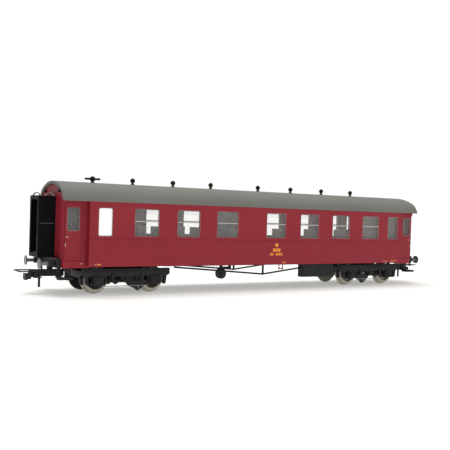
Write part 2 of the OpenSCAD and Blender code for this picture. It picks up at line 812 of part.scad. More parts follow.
// One bogie side with its axle boxes, springs, brake hanger and bearings, on the right
module bogie_side(hanger) {
    wheel = bogie_wheelbase / 2;
    half = bogie_len / 2;
    y0 = side_frame_y;
    y1 = y0 + bogie_side_t;
    root_y = y1 - 0.4;
    translate([0, 0, axle_z]) difference() {
        union() {
            across(y0, y1) {
                side_outline();
                mirror([1, 0]) side_outline();
                translate([hanger, 0])
                    polygon([[-4.2, -0.9], [-3.6, -1.9], [-0.4, -4.6], [0.4, -4.6], [3.6, -1.9],
                        [4.2, -0.9]]);
            }
            for (side = [-1, 1]) {
                translate([side * wheel, 0, 0]) {
                    block(-2.3, 2.3, root_y, y1 + 0.7, -2, 1.7);
                    cross_bar(0, root_y, y1 + 1, 0, 2.6);
                }
                block(side * 6.6 - 0.5, side * 6.6 + 0.5, root_y, y1 + 0.5, -0.65, 2.55);
            }
            block(1 - half, half - 1, root_y, y1 + 0.35, bogie_side_rise - 0.7,
                bogie_side_rise - 0.2);
            block(3 - wheel, wheel - 3, root_y, y1 + 0.3, -0.95, -0.5);
        }
        for (side = [-1, 1])
            cross_bar(side * wheel, y0 - over, y0 + bearing_depth, 0, 2 * bearing_r);
        across(y0 - over, y1 + over) for (side = [-1, 1]) {
            translate([side * 4.1, 0.65]) polygon(round_rect(3.4, 1.8, 0.3, 2));
            translate([side * 8.4, 0.65]) polygon(round_rect(1.4, 1.8, 0.3, 2));
        }
    }
}

// A curved shoe on each side of every wheel, and the beam that joins each pair across
module brake_shoes() {
    wheel = bogie_wheelbase / 2;
    y0 = wheel_inner_y + flange_w + 0.3;
    y1 = wheel_outer_y - 0.2;
    inner_r = tread_d / 2 + shoe_gap;
    outer_r = inner_r + shoe_t;
    low_z = axle_z - 2;
    top_z = frame_plate_z - 0.5;
    both_ends() for (side = [-1, 1]) translate([wheel, 0, 0]) scale([side, 1, 1]) {
        both_sides() intersection() {
            difference() {
                cross_bar(0, y0, y1, axle_z, 2 * outer_r);
                cross_bar(0, y0 - over, y1 + over, axle_z, 2 * inner_r);
            }
            block(0, outer_r + over, y0 - over, y1 + over, low_z, top_z);
        }
        block(flange_r + 0.2, flange_r + 0.9, -y1, y1, top_z - 0.5, frame_plate_z);
    }
}

module front_bogie_frame() color(frame_black) translate([-pivot_x, 0, 0]) bogie_frame();

module rear_bogie_frame() color(frame_black) translate([pivot_x, 0, 0]) bogie_frame();

module front_bogie_sides() color(frame_black)
    translate([-pivot_x, 0, 0]) both_sides() bogie_side(hanger_x);

module rear_bogie_sides() color(frame_black)
    translate([pivot_x, 0, 0]) both_sides() bogie_side(-hanger_x);

module front_brake_shoes() color(frame_black) translate([-pivot_x, 0, 0]) brake_shoes();

module rear_brake_shoes() color(frame_black) translate([pivot_x, 0, 0]) brake_shoes();

// ---- Wheelsets ----

// Section of a wheel from its bore outwards, with its back face at height 0
function wheel_section() = let (r = tread_d / 2, bore = axle_d / 2 + 0.01) [
    [bore, 0], [flange_r - 0.2, 0], [flange_r, 0.25], [flange_r, 0.55], [r + 0.1, flange_w],
    [r - 0.1, wheel_w - 0.2], [r - 0.3, wheel_w], [r - 1.1, wheel_w], [r - 1.3, 1.9],
    [bore + 1.1, 1.7], [bore + 0.9, wheel_w + 0.2], [bore, wheel_w + 0.2]
];

module wheels(x) {
    for (side = [-1, 1])
        translate([x, side * wheel_inner_y, axle_z]) rotate([-90 * side, 0, 0])
            rotate_extrude($fn = 64) polygon(wheel_section());
}

module axle(x) {
    shoulder_y = (wheel_outer_y + side_frame_y) / 2;
    cross_bar(x, -shoulder_y, shoulder_y, axle_z, axle_d);
    cross_bar(x, -axle_half, axle_half, axle_z, axle_end_d);
}

module wheels_1() color(nickel) wheels(wheels_x[0]);

module wheels_2() color(nickel) wheels(wheels_x[1]);

module wheels_3() color(nickel) wheels(wheels_x[2]);

module wheels_4() color(nickel) wheels(wheels_x[3]);

module axle_1() color(frame_black) axle(wheels_x[0]);

module axle_2() color(frame_black) axle(wheels_x[1]);

module axle_3() color(frame_black) axle(wheels_x[2]);

module axle_4() color(frame_black) axle(wheels_x[3]);

// ---- Couplers ----

// Swinging shaft with its head and the pin that carries the loop
module coupler() {
    z0 = coupler_z - coupler_h / 2;
    z1 = coupler_z + coupler_h / 2;
    half = 1.3;
    head_half = 2;
    head_x = coupler_tip_x - 2.3;
    difference() {
        union() {
            translate([coupler_x, 0, z0]) cylinder(h = coupler_h, d = 4.2);
            block(coupler_x, head_x + 0.5, -half, half, z0, z1);
            block(head_x, coupler_tip_x, -head_half, head_half, z0 - 1, z1 - 1.6);
            block(coupler_tip_x - 1.1, coupler_tip_x, -half, half, z0 - 1.4, z0);
            cross_bar(loop_hinge_x, -half - 1, half + 1, coupler_z, loop_pin_d);
        }
        translate([coupler_x, 0, z0 - over])
            cylinder(h = coupler_h + 2 * over, d = coupler_pin_d + 2 * running_gap);
    }
}

// Lifting wire loop with its cheeks and the pin that hangs below the shaft
module coupler_loop() {
    shaft_low = coupler_z - coupler_h / 2;
    wire = 0.5;
    z0 = 9.2;
    z1 = z0 + wire;
    cheek_y = 1.5;
    cheek_t = 0.8;
    plate_t = 0.4;
    cheek_low = shaft_low - 0.6;
    pin_x = loop_hinge_x - 1.9;
    difference() {
        union() {
            both_sides() {
                block(loop_hinge_x - 0.25, loop_tip_x, loop_half_w - wire, loop_half_w, z0, z1);
                block(loop_hinge_x - 0.25, loop_hinge_x + 0.25, cheek_y, loop_half_w, z0, z1);
                block(loop_hinge_x - 0.8, loop_hinge_x + 0.9, cheek_y, cheek_y + cheek_t,
                    cheek_low, z1);
                block(pin_x - 0.5, loop_hinge_x + 0.2, cheek_y, cheek_y + cheek_t,
                    cheek_low, cheek_low + plate_t);
            }
            block(loop_tip_x - wire, loop_tip_x, -loop_half_w, loop_half_w, z0, z1);
            block(pin_x - 0.5, loop_hinge_x - 0.2, -cheek_y - cheek_t, cheek_y + cheek_t,
                cheek_low, cheek_low + plate_t);
            translate([pin_x, 0, 2.6]) cylinder(h = cheek_low - 2.6 + plate_t / 2, d = 1);
        }
        cross_bar(loop_hinge_x, -cheek_y - cheek_t - over / 10, cheek_y + cheek_t + over / 10,
            coupler_z, loop_pin_d + 2 * running_gap);
    }
}

module front_coupler() color(frame_black) mirror([1, 0, 0]) coupler();

module rear_coupler() color(frame_black) coupler();

module front_coupler_loop() color(frame_black) mirror([1, 0, 0]) coupler_loop();

module rear_coupler_loop() color(frame_black) coupler_loop();

left_side();
right_side();
front_end();
rear_end();
roof();
underframe();
ballast_weight();
left_glazing();
right_glazing();
toilet_panes();
door_panes();
seats();
partitions();
front_gangway();
rear_gangway();
gangway_frames();
gangway_caps();
gangway_footplates();
buffer_housings();
buffer_heads();
roof_vents();
cross_vent();
truss_rods();
battery_box();
dynamo();
brake_handles();
door_steps();
brake_hoses();
lamp_brackets();
front_bogie_frame();
front_bogie_sides();
front_brake_shoes();
rear_bogie_frame();
rear_bogie_sides();
rear_brake_shoes();
wheels_1();
axle_1();
wheels_2();
axle_2();
wheels_3();
axle_3();
wheels_4();
axle_4();
front_coupler();
front_coupler_loop();
rear_coupler();
rear_coupler_loop();
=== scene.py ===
# %% [markdown]
# # A four-axle passenger coach in small scale
# The coach is a moulded model: a wine-red body, a grey roof, black running gear and bright
# wheels. Its solid parts come from the frame, already in place and in metres. This lesson gives
# them their finishes and adds the small pieces that make a model look real: window rims, door
# fittings, rivets, springs and printed marks.

# %% Load the frame
import bmesh
import bpy
from math import cos, pi, radians, sin
from mathutils import Matrix, Vector


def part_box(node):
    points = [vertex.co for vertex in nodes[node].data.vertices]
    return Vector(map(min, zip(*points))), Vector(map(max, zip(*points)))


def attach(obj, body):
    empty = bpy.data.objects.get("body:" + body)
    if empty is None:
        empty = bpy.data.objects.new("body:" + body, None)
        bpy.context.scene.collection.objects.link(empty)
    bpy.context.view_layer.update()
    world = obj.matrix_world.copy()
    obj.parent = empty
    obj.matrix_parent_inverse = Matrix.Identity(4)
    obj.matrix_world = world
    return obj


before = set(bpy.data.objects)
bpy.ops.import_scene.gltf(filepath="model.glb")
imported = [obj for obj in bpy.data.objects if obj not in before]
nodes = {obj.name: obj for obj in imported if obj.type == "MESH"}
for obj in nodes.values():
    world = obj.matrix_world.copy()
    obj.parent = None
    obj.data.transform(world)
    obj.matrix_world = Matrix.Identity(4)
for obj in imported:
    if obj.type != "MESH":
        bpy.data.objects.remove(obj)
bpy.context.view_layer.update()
MM = 0.001

# %% [markdown]
# ## Places and sizes
# Every added piece is seated on a solid of the frame, so its place is read from that solid's box
# where the box tells it. Sizes that no box can tell, such as the place of a window or the face
# of a wall, are listed here in millimetres and turned into metres where they are used.

# %% Measure the solids
def low(node):
    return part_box(node)[0] / MM


def high(node):
    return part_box(node)[1] / MM


SIDE_Y, DOOR_Y = 16.8, 14.0
WIDE_X = [-61.6, -41.75, -21.9, 4.87, 24.72, 44.57, 64.42]
WINDOW_Z, WINDOW_H = 30.2, 11.6
WIDE_W, TOILET_X, TOILET_W, REAR_X, REAR_W = 11.15, -80.1, 6.1, 80.0, 7.0
DOOR_X, DOOR_W, DOOR_WINDOW_Z, DOOR_WINDOW_H = 92.7, 5.0, 31.0, 9.2
PIVOT_X, AXLE_X, AXLE_Z = 68.4, 12.8, 6.05
print("bogie pivots", 2 * PIVOT_X, "mm apart,", len(WIDE_X), "wide windows on each side")

# %% [markdown]
# ## Camera
# The coach is seen from its front left corner, from about the height of its windows, with a
# medium lens. The turn is built from a yaw, a pitch and a small roll, as a hand-held camera has.

# %% Camera
CAMERA_AT = Vector((-0.1813184, -0.2787207, 0.0347748))
YAW, PITCH, ROLL = 31.080, -0.888, 1.754
LENS, SENSOR_W = 54.414, 36
NEAREST, FARTHEST = 0.01, 50


def make_camera():
    yaw, pitch, roll = radians(YAW), radians(PITCH), radians(ROLL)
    ahead = Vector((sin(yaw) * cos(pitch), cos(yaw) * cos(pitch), sin(pitch)))
    right = Vector((cos(yaw), -sin(yaw), 0))
    up = right.cross(ahead)
    x_axis = cos(roll) * right + sin(roll) * up
    y_axis = -sin(roll) * right + cos(roll) * up
    data = bpy.data.cameras.new("camera")
    data.lens, data.sensor_width = LENS, SENSOR_W
    data.clip_start, data.clip_end = NEAREST, FARTHEST
    camera = bpy.data.objects.new("camera", data)
    turn = Matrix((x_axis, y_axis, -ahead)).transposed().to_4x4()
    camera.matrix_world = Matrix.Translation(CAMERA_AT) @ turn
    bpy.context.scene.collection.objects.link(camera)
    bpy.context.scene.camera = camera


make_camera()
print("camera with a", LENS, "mm lens")

# %% [markdown]
# ## Light
# A small product is lit by a white tent: soft light from everywhere and one large lamp above.
# The world gives the soft part. It looks pure white to the camera but lights the coach less,
# so that its dark colours keep their depth. A wide sun overhead lays the shadow under the coach,
# and the floor glows a little, as paper with light behind it, so that the shadow stays pale. The
# tent is dimmer towards the front end, which turns the end wall darker than the side. Most cells
# below build nodes, so a small helper makes one node and fills its inputs in one call.

# %% World, sun and floor
def node(nt, kind, links=None, **values):
    made = nt.nodes.new(kind)
    for key, value in values.items():
        setattr(made, key, value)
    for key, value in (links or {}).items():
        socket = made.inputs[key]
        if isinstance(value, bpy.types.NodeSocket):
            nt.links.new(value, socket)
        else:
            socket.default_value = value
    return made


SKY, SKY_AHEAD, SKY_SEEN = 0.77, 0.18, 1.02
DIM_FROM, DIM_TO = -0.9, 0.1
SUN_AIM, SUN_SPREAD, SUN_STRENGTH = (0.16, -0.24, -1), 40, 2.1
FLOOR_REACH, FLOOR_GLOW = 12.0, 0.36


def make_world():
    world = bpy.data.worlds.new("tent")
    bpy.context.scene.world = world
    world.use_nodes = True
    nt = world.node_tree
    nt.nodes.clear()
    out = nt.nodes.new("ShaderNodeOutputWorld")
    mix = nt.nodes.new("ShaderNodeMixShader")
    path = nt.nodes.new("ShaderNodeLightPath")
    soft = nt.nodes.new("ShaderNodeBackground")
    seen = nt.nodes.new("ShaderNodeBackground")
    soft.inputs["Color"].default_value = (1.0, 0.99, 0.98, 1)
    seen.inputs["Color"].default_value = (1, 1, 1, 1)
    seen.inputs["Strength"].default_value = SKY_SEEN
    ahead = node(nt, "ShaderNodeSeparateXYZ", {0: node(nt, "ShaderNodeTexCoord").outputs["Generated"]})
    dimmer = node(nt, "ShaderNodeMapRange", {
        "Value": ahead.outputs["X"], "From Min": DIM_FROM, "From Max": DIM_TO,
        "To Min": SKY_AHEAD, "To Max": SKY})
    nt.links.new(dimmer.outputs[0], soft.inputs["Strength"])
    nt.links.new(path.outputs["Is Camera Ray"], mix.inputs["Fac"])
    nt.links.new(soft.outputs[0], mix.inputs[1])
    nt.links.new(seen.outputs[0], mix.inputs[2])
    nt.links.new(mix.outputs[0], out.inputs[0])


def make_sun(name, aim, spread, strength):
    data = bpy.data.lights.new(name, "SUN")
    data.angle, data.energy = radians(spread), strength
    lamp = bpy.data.objects.new(name, data)
    lamp.rotation_euler = Vector(aim).to_track_quat("-Z", "Y").to_euler()
    bpy.context.scene.collection.objects.link(lamp)


def make_floor():
    mesh = bpy.data.meshes.new("floor")
    far = FLOOR_REACH
    mesh.from_pydata([(-far, -far, 0), (far, -far, 0), (far, far, 0), (-far, far, 0)], [], [(0, 1, 2, 3)])
    floor = bpy.data.objects.new("floor", mesh)
    bpy.context.scene.collection.objects.link(floor)
    material = bpy.data.materials.new("floor_paper")
    material.use_nodes = True
    shader = material.node_tree.nodes["Principled BSDF"]
    shader.inputs["Base Color"].default_value = (0.66, 0.655, 0.64, 1)
    shader.inputs["Roughness"].default_value = 0.9
    shader.inputs["Specular IOR Level"].default_value = 0.1
    shader.inputs["Emission Color"].default_value = (1, 0.995, 0.97, 1)
    shader.inputs["Emission Strength"].default_value = FLOOR_GLOW
    mesh.materials.append(material)


make_world()
make_sun("overhead", SUN_AIM, SUN_SPREAD, SUN_STRENGTH)
make_floor()
bpy.context.scene.view_settings.view_transform = "Standard"
print("world, one soft sun and a floor")

# %% [markdown]
# ## Finishes
# Moulded plastic is never one flat colour. Its dye drifts a little over the part, its surface
# has a very fine grain from the mould, and the gloss changes where hands have touched it. One
# function makes all three from noise on Object coordinates, so that every finish differs only
# in its numbers. A Bevel node rounds the sharp edges for the light, as a mould does.

# %% Material helpers
NOISE_LOW, NOISE_HIGH = 0.3, 0.7
GRAIN_DEPTH, GRAIN_DETAIL = 0.05, 3.0
RUB_SHARE, RUB_DETAIL = 0.4, 4.0


def rgba(colour, share=1.0):
    return tuple(min(1.0, c * share) for c in colour) + (1,)


def noise(nt, place, size_mm, detail=2.0):
    return node(nt, "ShaderNodeTexNoise", {"Vector": place, "Scale": 1000 / size_mm, "Detail": detail})


def ramp(nt, factor, dark, light):
    made = node(nt, "ShaderNodeValToRGB", {"Fac": factor})
    first, last = made.color_ramp.elements
    first.color, last.color = dark, light
    first.position, last.position = NOISE_LOW, NOISE_HIGH
    return made


def finish(name, colour, rough=0.5, vary=0.06, patch=9.0, grain=0.35, bump=0.12, edge=0.08,
           metallic=0.0, gloss=0.35, alpha=1.0, stretch=(1, 1, 1), rough_spread=0.08):
    material = bpy.data.materials.new(name)
    material.use_nodes = True
    nt = material.node_tree
    shader = nt.nodes["Principled BSDF"]
    place = node(nt, "ShaderNodeTexCoord").outputs["Object"]
    patches = noise(nt, node(nt, "ShaderNodeMapping", {"Vector": place, "Scale": stretch}).outputs[0], patch)
    tone = ramp(nt, patches.outputs[0], rgba(colour, 1 - vary), rgba(colour, 1 + vary))
    fine = noise(nt, place, grain, GRAIN_DETAIL)
    rub = noise(nt, place, patch * RUB_SHARE, RUB_DETAIL)
    gloss_map = node(nt, "ShaderNodeMapRange", {
        "Value": rub.outputs[0], "From Min": NOISE_LOW, "From Max": NOISE_HIGH,
        "To Min": rough - rough_spread, "To Max": rough + rough_spread})
    soft_edge = node(nt, "ShaderNodeBevel", {"Radius": edge * MM}, samples=4)
    relief = node(nt, "ShaderNodeBump", {
        "Height": fine.outputs[0], "Strength": bump, "Distance": GRAIN_DEPTH * MM,
        "Normal": soft_edge.outputs[0]})
    nt.links.new(tone.outputs[0], shader.inputs["Base Color"])
    nt.links.new(gloss_map.outputs[0], shader.inputs["Roughness"])
    nt.links.new(relief.outputs[0], shader.inputs["Normal"])
    shader.inputs["Metallic"].default_value = metallic
    shader.inputs["Specular IOR Level"].default_value = gloss
    shader.inputs["Alpha"].default_value = alpha
    return material


# %% [markdown]
# ## The finishes of this coach
# The body is satin wine red. The roof is matt grey with a hint of green, the underframe is
# black with a dull grain, and the wheels are turned steel with a warm nickel coat. The panes
# are clear mouldings that stay see-through. The toilet panes are milky, with a faint painted glow
# that stands in for light and keeps them white against the dark inside.

# %% Finishes
wine_red = finish("wine_red", (0.295, 0.019, 0.032), rough=0.45, vary=0.05, patch=16, gloss=0.22)
roof_grey = finish("roof_grey", (0.185, 0.185, 0.168), rough=0.66, vary=0.06, patch=14, grain=0.25,
                   bump=0.2, gloss=0.2, stretch=(0.35, 1, 1))
frame_black = finish("frame_black", (0.0145, 0.0135, 0.0145), rough=0.55, vary=0.3, patch=4, gloss=0.3)
vent_black = finish("vent_black", (0.008, 0.008, 0.008), rough=0.5, vary=0.2, patch=2, gloss=0.2)
rubber_black = finish("rubber_black", (0.0025, 0.0022, 0.003), rough=0.6, vary=0.25, patch=5,
                      gloss=0.12)
buffer_metal = finish("buffer_metal", (0.17, 0.175, 0.18), rough=0.4, vary=0.2, patch=2,
                      metallic=0.3, gloss=0.5)
edge_grey = finish("edge_grey", (0.2, 0.2, 0.2), rough=0.42, vary=0.2, patch=2, metallic=0.3)
edge_dull = finish("edge_dull", (0.07, 0.07, 0.075), rough=0.5, vary=0.3, patch=3)
plate_grey = finish("plate_grey", (0.16, 0.16, 0.165), rough=0.45, vary=0.2, patch=1.5, metallic=0.4)
seat_brown = finish("seat_brown", (0.5, 0.435, 0.385), rough=0.7, vary=0.3, patch=9, gloss=0.2,
                    stretch=(1, 0.3, 0.3))
ballast_steel = finish("ballast_steel", (0.45, 0.45, 0.46), rough=0.4, metallic=0.9, patch=3)
axle_steel = finish("axle_steel", (0.06, 0.058, 0.055), rough=0.4, metallic=0.8, patch=1.5)
rim_silver = finish("rim_silver", (0.5, 0.49, 0.47), rough=0.35, vary=0.1, patch=3, metallic=0.3)
rim_worn = finish("rim_worn", (0.27, 0.2, 0.19), rough=0.45, vary=0.25, patch=3, metallic=0.2)
# Bright steel for the tie rods: a real rod whose brightness is a painted highlight.
rod_highlight_steel = finish("rod_highlight_steel", (0.32, 0.31, 0.29), rough=0.35, vary=0.15, patch=2, metallic=0.5)
seam_red = finish("seam_red", (0.075, 0.006, 0.01), rough=0.55, vary=0.1, patch=4, gloss=0.15)
print_gold = finish("print_gold", (0.95, 0.33, 0.05), rough=0.5, vary=0.12, patch=1.5, gloss=0.2)
print_pale = finish("print_pale", (0.6, 0.33, 0.29), rough=0.5, vary=0.12, patch=1.5, gloss=0.2)
clear_pane = finish("clear_pane", (0.9, 0.92, 0.92), rough=0.12, vary=0.02, patch=6, grain=1.2,
                    bump=0.02, edge=0.02, gloss=0.3, alpha=0.1, rough_spread=0.05)
frosted_pane = finish("frosted_pane", (0.97, 0.97, 0.965), rough=0.6, vary=0.01, patch=5,
                      edge=0.02, gloss=0.2, alpha=0.9)
# The glow of the toilet panes is painted light: it keeps them white in the shade of the inside.
PAINTED_PANE_GLOW = 0.2
pane_glow_shader = frosted_pane.node_tree.nodes["Principled BSDF"]
pane_glow_shader.inputs["Emission Color"].default_value = (1, 1, 1, 1)
pane_glow_shader.inputs["Emission Strength"].default_value = PAINTED_PANE_GLOW
print(len(bpy.data.materials), "finishes so far")


# %% [markdown]
# ## Turned wheels
# Only the tread, the flange and the face of the tyre are bright on such a wheel. Its back and
# the hollow round the hub stay dark: black on the front bogie, and paler on the rear one. The
# wheels are the same, so this difference is painted: shade on the front backs and light on the
# rear ones. Bright and dark are told apart by place: how far a point lies from the axle, and how
# far from the middle of the track. Rings from the lathe go round each axle.

# %% Turned wheels
TYRE_R, BACK_Y = 3.9, 7.24
RING_SCALE, RING_WANDER, RING_RELIEF, RING_DEPTH = 900.0, 0.4, 0.15, 0.03
# The front backs are black plastic with painted shade; the rear backs are painted paler, as painted light.
BLACK_BACK, PAINTED_LIGHT_BACK = (0.02, 0.019, 0.018), (0.16, 0.15, 0.13)
# The colour inputs and the colour output of a Mix node, counted from 0.
MIX_A, MIX_B, MIX_OUT = 6, 7, 2


def is_over(nt, value, limit):
    return node(nt, "ShaderNodeMath", {0: value, 1: limit}, operation="GREATER_THAN").outputs[0]


def turned(name, centre_x, back):
    material = finish(name, (0.47, 0.435, 0.365), rough=0.36, vary=0.12, patch=1.2, metallic=0.7,
                      gloss=0.5, edge=0.05)
    nt = material.node_tree
    shader = nt.nodes["Principled BSDF"]
    place = node(nt, "ShaderNodeTexCoord").outputs["Object"]
    centred = node(nt, "ShaderNodeMapping", {"Vector": place}, vector_type="POINT")
    centred.inputs["Location"].default_value = (-centre_x * MM, 0, -AXLE_Z * MM)
    rings = node(nt, "ShaderNodeTexWave", {
        "Vector": centred.outputs[0], "Scale": RING_SCALE, "Distortion": RING_WANDER},
        wave_type="RINGS", rings_direction="Y")
    first = next(n for n in nt.nodes if n.type == "BUMP")
    lathe = node(nt, "ShaderNodeBump", {
        "Height": rings.outputs["Fac"], "Strength": RING_RELIEF, "Distance": RING_DEPTH * MM,
        "Normal": first.outputs[0]})
    nt.links.new(lathe.outputs[0], shader.inputs["Normal"])
    flat = node(nt, "ShaderNodeVectorMath", {0: centred.outputs[0], 1: (1, 0, 1)}, operation="MULTIPLY")
    spread = node(nt, "ShaderNodeVectorMath", {0: flat.outputs[0]}, operation="LENGTH").outputs["Value"]
    across = node(nt, "ShaderNodeSeparateXYZ", {0: place}).outputs["Y"]
    off_middle = node(nt, "ShaderNodeMath", {0: across}, operation="ABSOLUTE").outputs[0]
    bright = node(nt, "ShaderNodeMath", {
        0: is_over(nt, spread, TYRE_R * MM), 1: is_over(nt, off_middle, BACK_Y * MM)},
        operation="MULTIPLY")
    tone = next(n for n in nt.nodes if n.type == "VALTORGB")
    colour = node(nt, "ShaderNodeMix", data_type="RGBA")
    nt.links.new(bright.outputs[0], colour.inputs["Factor"])
    nt.links.new(tone.outputs[0], colour.inputs[MIX_B])
    colour.inputs[MIX_A].default_value = rgba(back)
    nt.links.new(colour.outputs[MIX_OUT], shader.inputs["Base Color"])
    return material


wheel_x = [-PIVOT_X - AXLE_X, -PIVOT_X + AXLE_X, PIVOT_X - AXLE_X, PIVOT_X + AXLE_X]
backs = [BLACK_BACK, BLACK_BACK, PAINTED_LIGHT_BACK, PAINTED_LIGHT_BACK]
wheel_finishes = [turned("wheel_nickel_%d" % (i + 1), x, backs[i]) for i, x in enumerate(wheel_x)]
print("four wheel finishes with rings round their own axles")

# %% [markdown]
# ## Partitions
# The partition by the toilet is dark wood and those further back are pale. They are one solid of
# the frame, so one finish serves them all and the place along the coach picks the tone.

# %% Partition finish
DARK_WOOD, WOOD_BORDER_X = (0.05, 0.035, 0.03), -60


def two_tone(material, dark, border_x):
    nt = material.node_tree
    place = node(nt, "ShaderNodeTexCoord").outputs["Object"]
    along = node(nt, "ShaderNodeSeparateXYZ", {0: place}).outputs["X"]
    tone = next(n for n in nt.nodes if n.type == "VALTORGB")
    colour = node(nt, "ShaderNodeMix", {"Factor": is_over(nt, along, border_x * MM)}, data_type="RGBA")
    colour.inputs[MIX_A].default_value = rgba(dark)
    nt.links.new(tone.outputs[0], colour.inputs[MIX_B])
    nt.links.new(colour.outputs[MIX_OUT], nt.nodes["Principled BSDF"].inputs["Base Color"])
    return material


wall_brown = two_tone(finish("wall_brown", (0.5, 0.44, 0.4), rough=0.7, vary=0.2, patch=6, gloss=0.2),
                      DARK_WOOD, WOOD_BORDER_X)
print("partitions: dark wood by the toilet, pale further back")

# %% [markdown]
# ## Dressing the solids
# Each solid of the frame keeps its shape and only gets its finish. The old material slots are
# emptied first, so that one finish covers the whole solid.

# %% Give every solid its finish
DRESS = [
    (wine_red, ["left_side", "right_side", "front_end", "rear_end", "brake_handles"]),
    (roof_grey, ["roof"]),
    (frame_black, ["underframe", "truss_rods", "battery_box", "dynamo", "door_steps", "brake_hoses",
                   "buffer_housings", "front_bogie_frame", "front_bogie_sides", "front_brake_shoes",
                   "rear_bogie_frame", "rear_bogie_sides", "rear_brake_shoes", "front_coupler",
                   "front_coupler_loop", "rear_coupler", "rear_coupler_loop"]),
    (vent_black, ["roof_vents", "cross_vent", "lamp_brackets"]),
    (rubber_black, ["front_gangway", "rear_gangway", "gangway_frames"]),
    (buffer_metal, ["buffer_heads"]),
    (edge_grey, ["gangway_caps"]),
    (plate_grey, ["gangway_footplates"]),
    (seat_brown, ["seats"]),
    (wall_brown, ["partitions"]),
    (ballast_steel, ["ballast_weight"]),
    (axle_steel, ["axle_%d" % (i + 1) for i in range(4)]),
    (clear_pane, ["left_glazing", "right_glazing", "door_panes"]),
    (frosted_pane, ["toilet_panes"]),
]
DRESS += [(material, ["wheels_%d" % (i + 1)]) for i, material in enumerate(wheel_finishes)]
for material, names in DRESS:
    for name in names:
        nodes[name].data.materials.clear()
        nodes[name].data.materials.append(material)
print("dressed", sum(len(names) for _, names in DRESS), "of the frame's nodes")

# %% [markdown]
# ## One tree for every row
# Rims, rivets, springs and folds repeat, so Geometry Nodes put them in place: the tree makes one
# of them and sets it on every point of a small cloud. The sizes are the tree's named inputs.
# Afterwards each result is kept as a plain mesh under its body, and the modifier is gone.

# %% Tree helpers
DOME_SEGMENTS, DOME_RINGS, CORNER_STEPS = 8, 5, 5
COIL_STEPS, WIRE_SIDES = 10, 6
RIM_CORNER = 0.7


def new_tree(name, sizes):
    tree = bpy.data.node_groups.new(name, "GeometryNodeTree")
    tree.interface.new_socket("Geometry", in_out="INPUT", socket_type="NodeSocketGeometry")
    for size, kind in sizes.items():
        tree.interface.new_socket(size, in_out="INPUT", socket_type="NodeSocket" + kind)
    tree.interface.new_socket("Finish", in_out="INPUT", socket_type="NodeSocketMaterial")
    tree.interface.new_socket("Geometry", in_out="OUTPUT", socket_type="NodeSocketGeometry")
    return tree, tree.nodes.new("NodeGroupInput").outputs


def close_tree(tree, given, shape):
    seated = node(tree, "GeometryNodeInstanceOnPoints", {"Points": given["Geometry"], "Instance": shape})
    real = node(tree, "GeometryNodeRealizeInstances", {"Geometry": seated.outputs[0]})
    dressed = node(tree, "GeometryNodeSetMaterial", {
        "Geometry": real.outputs[0], "Material": given["Finish"]})
    node(tree, "NodeGroupOutput", {"Geometry": dressed.outputs[0]})
    return tree


def grow(name, tree, seats, material, body, slot, **sizes):
    cloud = bpy.data.meshes.new(name + "_seats")
    cloud.from_pydata([Vector(seat) * MM for seat in seats], [], [])
    seed = bpy.data.objects.new(name + "_seed", cloud)
    bpy.context.scene.collection.objects.link(seed)
    live = seed.modifiers.new("grow", "NODES")
    live.node_group = tree
    sizes["Finish"] = material
    for item in tree.interface.items_tree:
        if item.in_out == "INPUT" and item.name in sizes:
            live[item.identifier] = sizes[item.name]
    bpy.context.view_layer.update()
    solid = seed.evaluated_get(bpy.context.evaluated_depsgraph_get())
    mesh = bpy.data.meshes.new_from_object(solid)
    made = bpy.data.objects.new(name, mesh)
    bpy.context.scene.collection.objects.link(made)
    bpy.data.objects.remove(seed)
    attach(made, body)
    return len(mesh.polygons)


def tile_tree():
    tree, given = new_tree("tile", {"Size": "Vector"})
    cube = node(tree, "GeometryNodeMeshCube", {"Size": given["Size"]})
    return close_tree(tree, given, cube.outputs["Mesh"])


def dome_tree():
    tree, given = new_tree("dome", {"Size": "Vector"})
    ball = node(tree, "GeometryNodeMeshUVSphere", {
        "Segments": DOME_SEGMENTS, "Rings": DOME_RINGS, "Radius": 0.5})
    squashed = node(tree, "GeometryNodeTransform", {"Geometry": ball.outputs["Mesh"], "Scale": given["Size"]})
    return close_tree(tree, given, squashed.outputs[0])


def rim_tree():
    tree, given = new_tree("rim", {"Width": "Float", "Height": "Float", "Corner": "Float",
                                   "Bar": "Float", "Depth": "Float"})
    outline = node(tree, "GeometryNodeCurvePrimitiveQuadrilateral", {
        "Width": given["Width"], "Height": given["Height"]})
    rounded = node(tree, "GeometryNodeFilletCurve", {
        "Curve": outline.outputs[0], "Radius": given["Corner"]})
    rounded.mode = "POLY"
    rounded.inputs["Count"].default_value = CORNER_STEPS
    bar = node(tree, "GeometryNodeCurvePrimitiveQuadrilateral", {
        "Width": given["Bar"], "Height": given["Depth"]})
    flat = node(tree, "GeometryNodeCurveToMesh", {
        "Curve": rounded.outputs[0], "Profile Curve": bar.outputs[0]})
    upright = node(tree, "GeometryNodeTransform", {
        "Geometry": flat.outputs[0], "Rotation": (pi / 2, 0, 0)})
    return close_tree(tree, given, upright.outputs[0])


def coil_tree():
    tree, given = new_tree("coil", {"Turns": "Float", "Radius": "Float", "Height": "Float", "Wire": "Float"})
    spiral = node(tree, "GeometryNodeCurveSpiral", {
        "Resolution": COIL_STEPS, "Rotations": given["Turns"], "Start Radius": given["Radius"],
        "End Radius": given["Radius"], "Height": given["Height"]})
    wire = node(tree, "GeometryNodeCurvePrimitiveCircle", {
        "Resolution": WIRE_SIDES, "Radius": given["Wire"]})
    solid = node(tree, "GeometryNodeCurveToMesh", {
        "Curve": spiral.outputs[0], "Profile Curve": wire.outputs[0], "Fill Caps": True})
    return close_tree(tree, given, solid.outputs[0])


TILE, DOME, RIM, COIL = tile_tree(), dome_tree(), rim_tree(), coil_tree()


def tiles(name, seats, size, material, body="coach", slot="frame_black"):
    return grow(name, TILE, seats, material, body, slot, Size=Vector(size) * MM)


